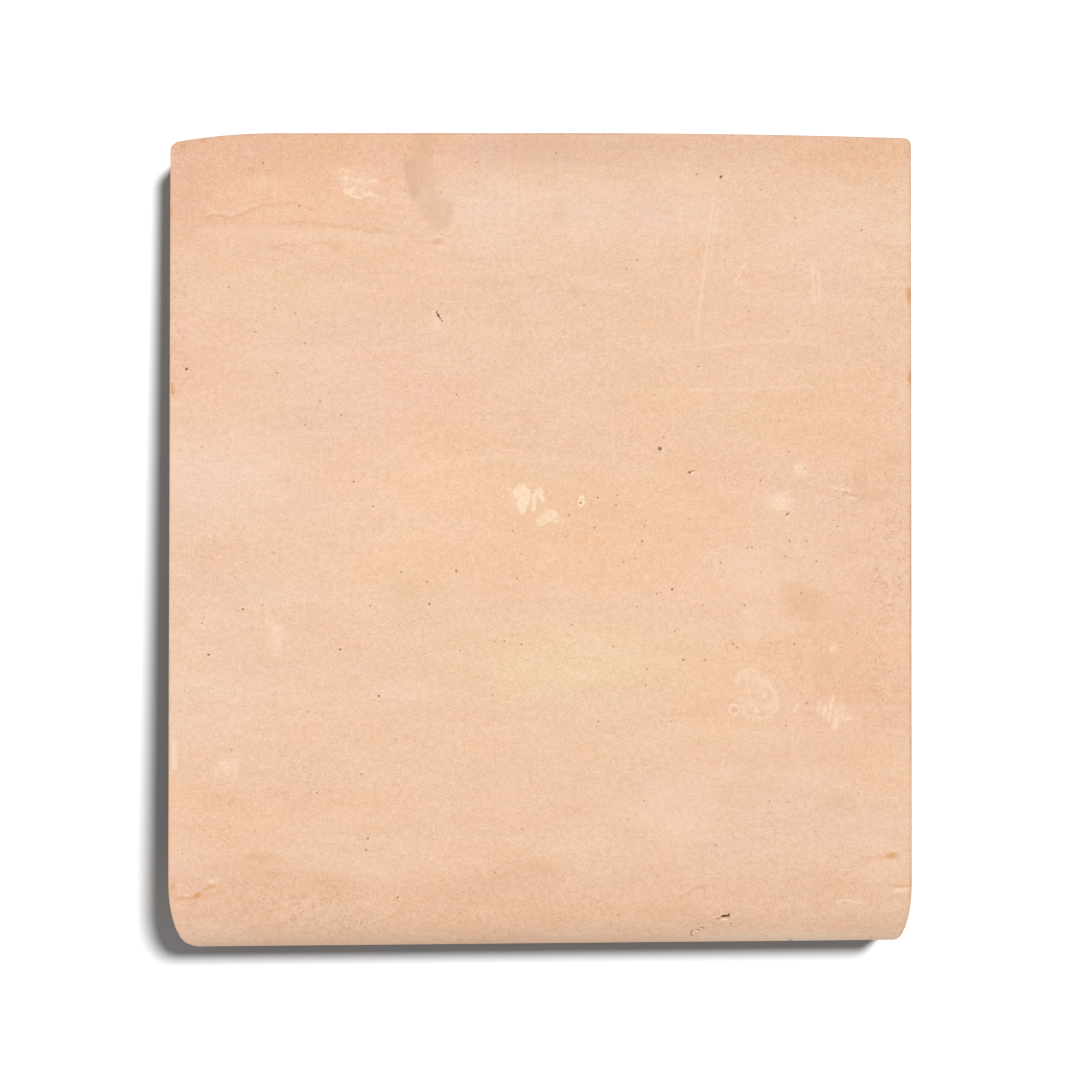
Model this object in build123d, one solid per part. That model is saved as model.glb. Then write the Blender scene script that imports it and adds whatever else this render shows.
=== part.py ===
from build123d import *
import os
from math import asin, atan2, cos, degrees, hypot, radians, tan

# Terracotta stair coping tile: one hand-moulded slab whose front turns down into a rounded nose.
# Millimetres. It is drawn level, tread face up at z = 0 and nose towards -Y, and then laid down
# the way it rests on a floor: on the rear arris of its lip and on its back edge.

# Overall size of the tile in plan
WIDTH = 300.0
DEPTH = 331.0

# Section from front to back
SLAB = 24.0
NOSE_HEIGHT = 42.0
NOSE_RADIUS = 26.0
CHIN_RADIUS = 8.0
LIP_THICKNESS = 28.0
LIP_DRAFT = 5.0
LIP_HEEL_RADIUS = 3.0
ROOT_RADIUS = 9.0

# Softened arris all round the sides and the back
ARRIS = 2.0

# What the hand moulding leaves: no side is quite square to another
FRONT_SKEW = 0.0097
LEFT_LEAN = 0.9
RIGHT_LEAN = 0.3

# The back edge is level in the middle and falls away towards each corner on a long arc
FALL_LEFT_FROM = -106.0
FALL_LEFT_RADIUS = 235.0
FALL_RIGHT_FROM = 10.0
FALL_RIGHT_RADIUS = 4600.0
BACK_LEFT_CORNER = 4.0
BACK_RIGHT_CORNER = 3.0

# Each side draws in on a long arc over its last stretch before the nose, then turns a tight corner
DRAW_IN_LEFT = 31.0
DRAW_IN_LEFT_RADIUS = 96.0
NOSE_LEFT_CORNER = 12.0
DRAW_IN_RIGHT = 28.0
DRAW_IN_RIGHT_RADIUS = 165.0
NOSE_RIGHT_CORNER = 3.5

# Degrees between the corner and the front face where they meet, a soft ridge on the worn tile
CORNER_RIDGE = 22.0

# How far the raw section runs on past the outline that cuts it
OVERLAP = 5.0

half_width = WIDTH / 2
front = -DEPTH / 2
back = DEPTH / 2

# The section stands square to the front, which runs slightly askew, and is swept from end to end of it
run_of_front = Vector(1, FRONT_SKEW, 0).normalized()
section_plane = Plane(
    origin=-(half_width + OVERLAP) * run_of_front,
    x_dir=(-FRONT_SKEW, 1, 0),
    z_dir=run_of_front,
)


def section():
    """The tile cut from front to back: flat tread, quarter-round nose, chin, lip and its root."""
    lip_rise = NOSE_HEIGHT - SLAB
    lip_rear = front + LIP_THICKNESS
    root_rear = lip_rear + lip_rise * tan(radians(LIP_DRAFT))
    with BuildSketch(section_plane) as sketch:
        with BuildLine():
            tread = Line((back + OVERLAP, 0), (front + NOSE_RADIUS, 0))
            nose = JernArc(tread @ 1, tread % 1, NOSE_RADIUS, 90)
            Polyline(
                nose @ 1,
                (front, -NOSE_HEIGHT),
                (lip_rear, -NOSE_HEIGHT),
                (root_rear, -SLAB),
                (back + OVERLAP, -SLAB),
                tread @ 0,
            )
        make_face()
        chin = sketch.vertices().sort_by_distance((front, -NOSE_HEIGHT))[0]
        fillet(chin, CHIN_RADIUS)
        heel = sketch.vertices().sort_by_distance((lip_rear, -NOSE_HEIGHT))[0]
        fillet(heel, LIP_HEEL_RADIUS)
        root = sketch.vertices().sort_by_distance((root_rear, -SLAB))[0]
        fillet(root, ROOT_RADIUS)
    return sketch.sketch


def fall(distance, radius):
    """How far an arc has left its tangent after a distance along that tangent."""
    return radius - (radius**2 - distance**2) ** 0.5


def draw_in_turn(length, radius, corner):
    """Degrees that the long arc turns before the corner arc takes over, to reach the front in a length."""
    reach = (length - corner * cos(radians(CORNER_RIDGE))) / (1 - corner / radius)
    return degrees(asin(reach / radius))


def front_at(x):
    """Where the skewed front face stands at a place across the tile."""
    return front + FRONT_SKEW * x


def outline():
    """The tile seen from above. Its front line passes just ahead of the front face of the section."""
    back_left_x = -half_width + LEFT_LEAN
    back_right_x = half_width - RIGHT_LEAN
    back_left = (back_left_x, back - fall(FALL_LEFT_FROM - back_left_x, FALL_LEFT_RADIUS))
    back_right = (back_right_x, back - fall(back_right_x - FALL_RIGHT_FROM, FALL_RIGHT_RADIUS))
    left_turn = draw_in_turn(DRAW_IN_LEFT, DRAW_IN_LEFT_RADIUS, NOSE_LEFT_CORNER)
    right_turn = draw_in_turn(DRAW_IN_RIGHT, DRAW_IN_RIGHT_RADIUS, NOSE_RIGHT_CORNER)
    with BuildSketch() as sketch:
        with BuildLine():
            level = Line((FALL_LEFT_FROM, back), (FALL_RIGHT_FROM, back))
            TangentArc(level @ 1, back_right, tangent=level % 1)
            right = Line(back_right, (half_width, front_at(half_width) + DRAW_IN_RIGHT))
            right_in = JernArc(right @ 1, right % 1, DRAW_IN_RIGHT_RADIUS, -right_turn)
            right_corner = JernArc(right_in @ 1, right_in % 1, NOSE_RIGHT_CORNER, right_turn - 90)
            TangentArc(level @ 0, back_left, tangent=-(level % 0))
            left = Line(back_left, (-half_width, front_at(-half_width) + DRAW_IN_LEFT))
            left_in = JernArc(left @ 1, left % 1, DRAW_IN_LEFT_RADIUS, left_turn)
            left_corner = JernArc(left_in @ 1, left_in % 1, NOSE_LEFT_CORNER, 90 - left_turn)
            Line(left_corner @ 1, right_corner @ 1)
        make_face()
        fillet(sketch.vertices().sort_by_distance(back_left)[0], BACK_LEFT_CORNER)
        fillet(sketch.vertices().sort_by_distance(back_right)[0], BACK_RIGHT_CORNER)
    return sketch.sketch


def sharp_edges(blank):
    """Where the cut walls meet the moulded section, without the upright seams between two walls.
    Of the upright faces the foremost is the moulded front, and all others are cut walls."""
    upright = blank.faces().filter_by(lambda face: abs(face.normal_at().Z) < 1e-6)
    walls = upright.sort_by(Axis.Y)[1:]
    edges = [e for wall in walls for e in wall.edges()]
    return [e for e in edges if sum(e.is_same(other) for other in edges) == 1]


def rest_tilt():
    """Angle of the tread when the heel of the lip and the lower back arris touch one level floor."""
    heel_setback = LIP_HEEL_RADIUS / tan(radians((90 + LIP_DRAFT) / 2))
    across = (back - ARRIS) - (front + LIP_THICKNESS - heel_setback)
    up = (ARRIS - SLAB) - (LIP_HEEL_RADIUS - NOSE_HEIGHT)
    return degrees(atan2(up, across) - asin((ARRIS - LIP_HEEL_RADIUS) / hypot(up, across)))


def coping_tile():
    """The blank is the moulded section run along the skewed front, cut to the outline and softened."""
    run = extrude(section(), amount=2 * (half_width + OVERLAP))
    cutter = Pos(0, 0, -NOSE_HEIGHT - OVERLAP) * extrude(outline(), amount=NOSE_HEIGHT + 2 * OVERLAP)
    blank = (run & cutter).solid()
    tile = blank.fillet(ARRIS, sharp_edges(blank))
    laid = tile.rotate(Axis((0, 0, 0), run_of_front), -rest_tilt())
    box = laid.bounding_box()
    return laid.translate((-box.center().X, -box.center().Y, -box.min.Z))


os.makedirs("parts", exist_ok=True)
tile = coping_tile()
tile.label = "coping_tile"
export_step(tile, "parts/coping_tile.step")
print("rest tilt, degrees:", round(rest_tilt(), 3))
print("size, mm:", tile.bounding_box().size)
print("volume, mm3:", round(tile.volume))
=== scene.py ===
from math import asin, atan2, cos, degrees, hypot, radians, sin, tan

import bmesh
import bpy
import numpy as np
from mathutils import Matrix, Vector


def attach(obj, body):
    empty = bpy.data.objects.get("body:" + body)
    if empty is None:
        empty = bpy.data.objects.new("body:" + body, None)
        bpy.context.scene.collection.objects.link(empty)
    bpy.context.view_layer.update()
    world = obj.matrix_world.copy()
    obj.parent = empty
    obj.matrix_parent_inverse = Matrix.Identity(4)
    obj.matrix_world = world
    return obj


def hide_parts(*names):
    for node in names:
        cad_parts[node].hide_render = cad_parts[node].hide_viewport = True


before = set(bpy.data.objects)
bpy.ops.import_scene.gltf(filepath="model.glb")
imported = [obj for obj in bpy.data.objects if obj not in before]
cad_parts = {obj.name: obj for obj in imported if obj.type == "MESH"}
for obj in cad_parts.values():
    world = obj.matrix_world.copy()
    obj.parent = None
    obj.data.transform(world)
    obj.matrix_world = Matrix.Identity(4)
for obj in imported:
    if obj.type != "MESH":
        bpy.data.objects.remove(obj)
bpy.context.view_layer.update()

# Lengths are millimetres in the tile's own level frame: tread face at z = 0, nose towards -Y.
# The finished mesh is turned to its rest pose and written in metres.
MM = 0.001

# The tile, as the solid has it
WIDTH = 300.0
DEPTH = 331.0
SLAB = 24.0
NOSE_HEIGHT = 42.0
NOSE_RADIUS = 26.0
CHIN_RADIUS = 8.0
LIP_THICKNESS = 28.0
LIP_DRAFT = radians(5.0)
HEEL_RADIUS = 3.0
ROOT_RADIUS = 9.0
ARRIS = 2.0
FRONT_SKEW = 0.0097
LEFT_LEAN, RIGHT_LEAN = 0.9, 0.3
FALL_LEFT_FROM, FALL_LEFT_RADIUS = -106.0, 235.0
FALL_RIGHT_FROM, FALL_RIGHT_RADIUS = 10.0, 4600.0
BACK_LEFT_CORNER, BACK_RIGHT_CORNER = 4.0, 3.0
DRAW_IN_LEFT, DRAW_IN_LEFT_RADIUS, NOSE_LEFT_CORNER = 31.0, 96.0, 12.0
DRAW_IN_RIGHT, DRAW_IN_RIGHT_RADIUS, NOSE_RIGHT_CORNER = 28.0, 165.0, 3.5
CORNER_RIDGE = radians(22.0)
HALF = WIDTH / 2
FRONT = -DEPTH / 2
BACK = DEPTH / 2

# The photograph: its width and the tile's in pixels, the pixel under the lens across and down, and how
# far the lens is from the middle of the tread, towards the back and up
PHOTO_PIXELS = 1080.0
TILE_PIXELS = 743.7
LENS_PIXEL = 539.5
LENS_ALONG = 1.3
LENS_HEIGHT = 850.0
PIXEL = WIDTH / TILE_PIXELS * LENS_HEIGHT / (LENS_HEIGHT + ARRIS)


def pixels_of(p):
    """Where the lens sees each point, in pixels of the photograph."""
    k = LENS_HEIGHT / (LENS_HEIGHT - p[:, 2]) / PIXEL
    return np.stack([LENS_PIXEL + p[:, 0] * k, LENS_PIXEL - (p[:, 1] - LENS_ALONG) * k], 1)


# Shape of the tile as a distance, negative inside

NEARLY_PARALLEL, NEARLY_NOTHING = 0.999, 1e-9


def round_and(a, b, radius):
    """Distance to what is inside both shapes, with their edge rounded."""
    near = np.hypot(np.maximum(a + radius, 0), np.maximum(b + radius, 0))
    return np.minimum(np.maximum(a, b), -radius) + near


def round_or(a, b, radius):
    """Distance to what is inside either shape, with their inner corner filled to a radius."""
    near = np.hypot(np.maximum(radius - a, 0), np.maximum(radius - b, 0))
    return np.maximum(np.minimum(a, b), radius) - near


def fillet_and(a, b, c, radius):
    """The same as the first for any angle: c is the cosine between the two outward directions."""
    c = np.clip(c, -NEARLY_PARALLEL, NEARLY_PARALLEL)
    a, b = a + radius, b + radius
    corner = np.sqrt(np.maximum(a * a + b * b - 2 * c * a * b, 0) / (1 - c * c))
    return np.where((a > c * b) & (b > c * a), corner, np.maximum(a, b)) - radius


def section_distance(v, z):
    """The section, where v runs from nose to back square to the front face."""
    outer = round_and(z, FRONT - v, NOSE_RADIUS)
    rear_line = FRONT + LIP_THICKNESS + (z + NOSE_HEIGHT) * tan(LIP_DRAFT)
    rear = (v - rear_line) * cos(LIP_DRAFT)
    lip = round_and(rear, -NOSE_HEIGHT - z, HEEL_RADIUS)
    inner = round_or(-SLAB - z, lip, ROOT_RADIUS)
    return round_and(outer, inner, CHIN_RADIUS)


def side_wall(out, y, lean, start, radius):
    """Distance to a side wall, and how far its outward direction is turned to the front. The wall leans
    in towards the back, and draws in on an arc ahead of its start."""
    leaning = (out + lean * (y - start) / (BACK - start)) - HALF
    reach = np.hypot(np.maximum(out - (HALF - radius), 0), y - start)
    ahead = y < start
    turned = (start - y) / np.maximum(reach, 1)
    return np.where(ahead, reach - radius, leaning), np.where(ahead, turned, 0)


def back_wall(x, y, start, radius):
    """Distance to the back edge where it falls away on an arc, and how far it is turned to the side."""
    reach = np.hypot(x - start, y - BACK + radius)
    return reach - radius, np.abs(x - start) / reach


def outline_distance(x, y):
    """The tile seen from above. Its front line lies just ahead of the front face of the section."""
    left_start = FRONT + DRAW_IN_LEFT - FRONT_SKEW * HALF
    right_start = FRONT + DRAW_IN_RIGHT + FRONT_SKEW * HALF
    left, left_turn = side_wall(-x, y, LEFT_LEAN, left_start, DRAW_IN_LEFT_RADIUS)
    right, right_turn = side_wall(x, y, RIGHT_LEAN, right_start, DRAW_IN_RIGHT_RADIUS)
    back_left, back_left_turn = back_wall(x, y, FALL_LEFT_FROM, FALL_LEFT_RADIUS)
    back_right, back_right_turn = back_wall(x, y, FALL_RIGHT_FROM, FALL_RIGHT_RADIUS)
    middle = np.where(x > FALL_RIGHT_FROM, back_right, y - BACK)
    back = np.where(x < FALL_LEFT_FROM, back_left, middle)
    nose_corner = np.where(x < 0, NOSE_LEFT_CORNER, NOSE_RIGHT_CORNER)
    front = (FRONT + FRONT_SKEW * x - nose_corner * (1 - cos(CORNER_RIDGE))) - y
    side = np.where(x < 0, left, right)
    at_back = fillet_and(
        side,
        back,
        np.where(x < 0, back_left_turn, back_right_turn),
        np.where(x < 0, BACK_LEFT_CORNER, BACK_RIGHT_CORNER),
    )
    at_front = fillet_and(side, front, np.where(x < 0, left_turn, right_turn), nose_corner)
    return np.where(y > 0, at_back, at_front)


def tile_distance(p, step=0.01):
    """The section cut to the outline, with a round arris between them."""
    x, y, z = p.T
    v = (y - FRONT_SKEW * x) / hypot(1, FRONT_SKEW)
    section, outline = section_distance(v, z), outline_distance(x, y)
    section_slope = (section_distance(v + step, z) - section) / step
    outline_slope = (outline_distance(x, y + step) - outline) / step
    return fillet_and(section, outline, section_slope * outline_slope, ARRIS)


def gradient(p, step=0.02):
    """The outward direction at each point."""
    slopes = [tile_distance(p + d) - tile_distance(p - d) for d in step * np.eye(3)]
    g = np.stack(slopes, 1)
    return g / np.maximum(np.linalg.norm(g, axis=1, keepdims=True), NEARLY_NOTHING)


def onto_surface(p, rounds=8):
    """Moves points to the nearest place on the tile's skin."""
    for _ in range(rounds):
        p = p - gradient(p) * tile_distance(p)[:, None]
    return p


# The blank mesh: a box of rows, bent like the section


def spaced(length, step, edge=(0.0, 1.2, 2.0)):
    """Fractions along a length in even steps, with closer ones at both ends for the arris."""
    count = max(int(round((length - 2 * edge[-1]) / step)), 1)
    middle = np.linspace(edge[-1], length - edge[-1], count + 1)
    ends = np.array(edge[:-1])
    return np.concatenate([ends, middle, length - ends[::-1]]) / length


def arc(centre, radius, start, end, count):
    """Points on an arc in the section, angles in degrees from the back."""
    turns = np.radians(np.linspace(start, end, count))
    return np.stack([centre[0] + radius * np.cos(turns), centre[1] + radius * np.sin(turns)], 1)


def along(points, fractions):
    """Places at fractions of a polyline's length."""
    steps = np.linalg.norm(np.diff(points, axis=0), axis=1)
    at = np.concatenate([[0], np.cumsum(steps)]) / steps.sum()
    return np.stack([np.interp(fractions, at, points[:, k]) for k in (0, 1)], 1)


# Widest spacing of the blank's rows in millimetres, its rows round the nose and down to the foot of the
# lip, and the points on the arcs that these rows follow
COARSE = 3.4
TURN_ROWS = 20
NOSE_POINTS, CHIN_POINTS, ROOT_POINTS = 24, 12, 12
JUST_INSIDE = 0.999


def bends():
    """The rows outside round nose and chin, those inside round root and lip, and where the root starts."""
    nose = arc((FRONT + NOSE_RADIUS, -NOSE_RADIUS), NOSE_RADIUS, 90, 180, NOSE_POINTS)
    chin = arc((FRONT + CHIN_RADIUS, CHIN_RADIUS - NOSE_HEIGHT), CHIN_RADIUS, 180, 270, CHIN_POINTS)
    root_depth = -SLAB - ROOT_RADIUS
    rear_at_root = FRONT + LIP_THICKNESS + (root_depth + NOSE_HEIGHT) * tan(LIP_DRAFT)
    root_centre = (rear_at_root + ROOT_RADIUS / cos(LIP_DRAFT), root_depth)
    root = arc(root_centre, ROOT_RADIUS, 90, 180 - degrees(LIP_DRAFT), ROOT_POINTS)
    heel = (FRONT + LIP_THICKNESS, -NOSE_HEIGHT)
    rows = np.linspace(0, 1, TURN_ROWS + 1)[1:]
    outer = along(np.concatenate([nose, chin]), rows)
    inner = along(np.concatenate([root, [heel]]), rows)
    return outer, inner, root[0, 0]


def side_of(axis, end):
    """Picks the first or the last layer of a block of corners along an axis."""
    return (slice(None),) * axis + (end,)


def shell_faces(number):
    """The quads on the six sides of a block of numbered corners, all facing outwards."""
    faces = []
    for axis, flip in ((0, True), (1, False), (2, True)):
        for end, turned in ((0, not flip), (-1, flip)):
            side = number[side_of(axis, end)]
            around = [side[:-1, :-1], side[1:, :-1], side[1:, 1:], side[:-1, 1:]]
            quads = np.stack(around, -1).reshape(-1, 4)
            faces.append(quads[:, ::-1] if turned else quads)
    return np.concatenate(faces)


def blank_mesh():
    """Corners and faces of the coarse blank, in rows across, from the back to the lip, and through."""
    through = spaced(SLAB, COARSE)
    flat = spaced(DEPTH - NOSE_RADIUS, COARSE)[:-2]
    flat = flat / flat[-1]
    outer_bend, inner_bend, root_start = bends()
    columns = []
    for u in spaced(WIDTH, COARSE):
        x = (u - 0.5) * WIDTH
        fall = -outline_distance(np.array([x * JUST_INSIDE]), np.array([BACK]))[0]
        back = BACK + min(fall, 0)
        outer_flat = np.stack([back + (FRONT + NOSE_RADIUS - back) * flat, 0 * flat], 1)
        inner_flat = np.stack([back + (root_start - back) * flat, 0 * flat - SLAB], 1)
        outer = np.concatenate([outer_flat, outer_bend])
        inner = np.concatenate([inner_flat, inner_bend])
        share = through[None, :, None]
        sheet = inner[:, None] * (1 - share) + outer[:, None] * share
        y = sheet[..., 0] + FRONT_SKEW * x
        columns.append(np.stack([np.full_like(y, x), y, sheet[..., 1]], -1))
    block = np.stack(columns)
    shell = np.zeros(block.shape[:3], bool)
    for axis in range(3):
        for end in (0, -1):
            shell[side_of(axis, end)] = True
    number = -np.ones(shell.shape, int)
    number[shell] = np.arange(shell.sum())
    return block[shell], shell_faces(number)


# Marks on the tile, in pixels of the photograph


def ring(x, y, radius, count=12):
    """The corners of a small round mark, first and last the same."""
    turns = np.linspace(0, 2 * np.pi, count + 1)
    return [(x + radius * cos(t), y + radius * sin(t)) for t in turns]


# Pits: centre, radius, depth in millimetres, and darkness of the painted shade in them
PITS = [
    (720.5, 176.3, 1.5, 0.6, 0.85), (186, 368.5, 1.4, 0.5, 0.9), (437.7, 314.8, 1.5, 0.6, 0.8),
    (436, 311.4, 1, 0.4, 0.5), (439.7, 317.8, 1, 0.4, 0.5), (441.6, 320, 1.2, 0.4, 0.5),
    (429, 603.5, 1.2, 0.45, 0.7), (455.8, 570.7, 1.1, 0.45, 0.7), (671.7, 588.9, 1.2, 0.45, 0.8),
    (689.2, 471.8, 1.3, 0.45, 0.85), (397.2, 897.3, 1.1, 0.4, 0.6), (659.4, 448.2, 2.1, 0.5, 0.75),
    (718.4, 918.2, 1, 0.4, 0.5), (730.3, 923.2, 1, 0.4, 0.5), (242.5, 608.8, 1.15, 0.4, 0.75),
    (208, 654.3, 1.25, 0.4, 0.75), (339.8, 649, 1.2, 0.4, 0.75), (378.4, 695.6, 1.25, 0.4, 0.7),
    (683, 659.5, 1.15, 0.4, 0.65), (401, 571.7, 1.1, 0.35, 0.55), (231, 749.5, 1, 0.3, 0.5),
    (367.5, 838, 1.2, 0.35, 0.6), (365.5, 849.5, 1.1, 0.35, 0.5), (580.2, 502.4, 1.3, 0.3, 0.6),
    (790, 939.5, 2.6, 0.5, 0.45), (869, 938.5, 2.2, 0.5, 0.45),
]

# Small pits are all alike: their centres, and the radius, depth and darkness of painted shade they share
SMALL_PIT = (1.05, 0.3, 0.45)
SMALL_PITS = [
    (787, 513.5), (801, 593), (613, 646), (261.5, 605), (456, 394), (517, 578), (274, 308), (373, 506),
    (305, 424), (341, 414.5), (440, 191.5), (788.5, 451), (255, 331), (304, 343), (720, 562),
    (751.5, 546.5), (760, 480), (276, 372.5), (804.5, 468), (615.5, 504.5), (617, 495), (426.5, 581.5),
    (571, 624.5), (644, 526), (319.5, 401), (262.5, 162.5), (295, 313), (748, 311), (696, 173.5),
    (795, 217.5), (861, 229.5), (482, 937), (315, 134), (568.8, 514.7), (594, 527.3), (513, 530.8),
    (597, 497), (641.5, 540.5), (623, 561.5), (634, 558), (642, 541), (656, 593.5), (521, 644),
    (674.5, 630.5), (736.5, 647), (705, 659.6), (732, 643), (794, 643.5), (816, 560.8), (784.5, 556),
    (747, 547), (789, 540.5), (806, 540.5), (837, 526), (806.5, 702.8), (785.5, 725.3), (646.5, 668.7),
    (598, 721), (492, 694.8), (702, 604.8), (744, 605),
]
PITS += [(x, y, *SMALL_PIT) for x, y in SMALL_PITS]

# Scratches and gouges: points, width, depth in millimetres, and darkness of the painted shade in them
CUTS = [
    ([(721.6, 916.4), (725, 915.9), (728.2, 915.6)], 2.2, 0.7, 1),
    ([(728.3, 913.6), (728.9, 916)], 1.2, 0.4, 0.9), ([(716.6, 919.2), (718.2, 918.2)], 1, 0.25, 0.6),
    ([(696.6, 929.3), (698.4, 930.2), (700, 930.3)], 1.1, 0.3, 0.75),
    ([(699.7, 927.3), (701.8, 927.4), (703.8, 928.3)], 1.1, 0.3, 0.65),
    ([(692, 930), (690.4, 932.4), (690.4, 934.4), (691.5, 935.4)], 1.1, 0.3, 0.65),
    ([(690.4, 471.6), (692, 470.4), (694, 470.5)], 1, 0.25, 0.5),
    ([(436, 311.4), (437.8, 314.8), (439.7, 318.2)], 1.2, 0.5, 0.7),
    ([(785.6, 514.4), (787.8, 512.8)], 1.2, 0.4, 0.6),
]

# Soft marks, by layer: centre, radii, strength, and degrees of turn where there is one
SPOTS = {
    "lime_and_highlight": [
        (562.8, 520.4, 2.4, 1.8, 0.8), (508.5, 489, 7, 3.5, 0.42), (530.2, 482.5, 1.8, 1.8, 0.85),
        # (693.4, 471.6) is a painted highlight on the lit side of the pit next to it
        (503.4, 495.1, 1.8, 1.8, 0.8), (508.8, 494.1, 2.2, 2, 0.6), (693.4, 471.6, 1.5, 1.5, 0.8),
        (362.5, 172.8, 2.2, 2.4, 0.5), (372.4, 171, 2, 2, 0.4), (178, 892, 5, 5, 0.32),
        (224, 766, 9, 10, 0.4), (779, 503, 15, 13, 0.38), (786, 492, 8, 9, 0.3),
        (800, 468, 11, 10, 0.38, 30), (793.8, 709.5, 2.4, 3, 0.5), (646, 577, 3.5, 3.5, 0.7),
        (846, 718, 7, 4, 0.42), (796, 706, 2, 2, 0.5), (210.8, 881.7, 1.9, 2.4, 0.9),
        # (724, 918.8) and (720, 914.2) are painted highlights along the two edges of the gouge
        (724, 918.8, 4.6, 1.4, 0.95), (720, 914.2, 3, 1.2, 0.6), (832, 648, 6, 6, 0.36),
        (697, 930.5, 5, 1.6, 0.6, -15), (901, 889.6, 9, 2, 0.4),
    ],
    "veil_and_highlight": [
        (358, 183, 23, 15, 0.32, 8), (748, 676, 9, 8, 0.35), (764, 685, 9, 8, 0.5),
        (756, 700, 19, 19, 0.32), (780, 502, 17, 13, 0.65), (800, 468, 10, 12, 0.5, 30),
        (752, 632, 12, 14, 0.4), (750, 614, 10, 10, 0.35), (750, 572, 34, 28, 0.35),
        (838, 712, 18, 13, 0.3, 20), (275, 636, 8, 19, 0.4, 8), (226, 767, 12, 13, 0.4),
        (520, 497, 14, 14, 0.35), (437, 322, 6, 12, 0.55), (722, 772, 16, 8, 0.25),
        (560, 420, 20, 8, 0.2), (675, 812, 50, 40, 0.25), (210, 885, 14, 6, 0.3, -20),
        (833, 646, 8, 7, 0.3), (512, 422, 12, 6, 0.25), (330, 300, 40, 22, 0.2), (262, 180, 10, 8, 0.25),
        (250, 153, 8, 6, 0.3), (690, 180, 50, 14, 0.15),
    ],
    "smoke": [
        (574, 292, 10, 8, 0.35), (560, 212, 9, 20, 0.3), (545, 150, 44, 22, 0.45),
        (640, 142, 30, 10, 0.25), (700, 176, 12, 4, 0.25), (425, 150, 12, 12, 0.3),
    ],
    "stain": [
        (802, 600, 27, 20, 0.5, 25), (810, 610, 14, 16, 0.5), (800, 604, 12, 9, 0.65),
        (796, 588, 18, 9, 0.4, 20), (820, 664, 18, 13, 0.35), (834, 801, 22, 10, 0.35),
        (330, 884, 30, 12, 0.3, 10), (545, 868, 26, 10, 0.3), (404, 588, 22, 14, 0.2),
        (268, 858, 22, 6, 0.35), (266, 874, 30, 8, 0.3), (305, 893, 9, 7, 0.4), (860, 482, 9, 22, 0.35),
        (893, 458, 9, 5, 0.5, 30), (875, 494, 12, 8, 0.4), (892, 552, 7, 5, 0.5), (851, 548, 8, 10, 0.35),
        (794, 880, 7, 6, 0.3), (856, 863, 18, 4, 0.35), (500, 902, 34, 7, 0.3), (668, 916, 8, 4, 0.4),
        (314, 919, 12, 4, 0.45, 30), (306, 933, 8, 2.4, 0.5, 10), (345, 931, 9, 4, 0.4, 20),
        (398, 912, 7, 9, 0.35, 30),
    ],
    "ochre_and_edge_shade": [
        (437, 241, 7, 3.4, 0.6), (890.5, 855, 9, 4, 1.1, -4), (197.3, 895.1, 4.8, 3.4, 1.5, -15),
        (172, 389, 2.5, 8, 1), (908, 295, 3.5, 11, 1), (910, 377, 3, 9, 1), (171, 212, 2.5, 8, 0.5),
        (182, 145, 4, 3, 0.8), (178, 153, 3, 3, 0.6), (202, 140, 4, 2, 0.7), (222, 138, 4, 2, 0.4),
        (851, 147, 3, 2, 0.6), (847, 142, 3, 2, 0.6), (867, 149, 3, 2, 0.5), (336, 248, 9, 5, 0.35),
        # (912, 535) is painted shade down the right arris
        (172.5, 885.7, 2.4, 3, 0.9), (701, 887, 5, 3, 0.35, 40), (912, 535, 2, 28, 0.8),
        (259, 857, 16, 5, 0.3), (272, 875, 8, 5, 0.3), (911, 884, 2.5, 10, 0.5),
    ],
    "crease_shade_and_highlight": [
        (758, 700, 16, 12, 0.8), (888, 560, 28, 110, 1), (880, 680, 30, 60, 0.7),
        (884, 300, 26, 130, 0.5), (850, 490, 30, 20, 0.7), (300, 900, 90, 34, 1), (340, 925, 60, 16, 1),
        (220, 830, 40, 50, 0.5), (300, 790, 60, 50, 0.4), (560, 870, 90, 22, 0.5),
        (820, 880, 90, 40, 0.5), (225, 560, 30, 50, 0.4), (250, 160, 80, 24, 0.5),
        (560, 340, 110, 70, 0.3), (490, 440, 90, 50, 0.3), (800, 660, 60, 40, 0.5),
        (180, 330, 14, 120, 0.5),
    ],
}

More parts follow.
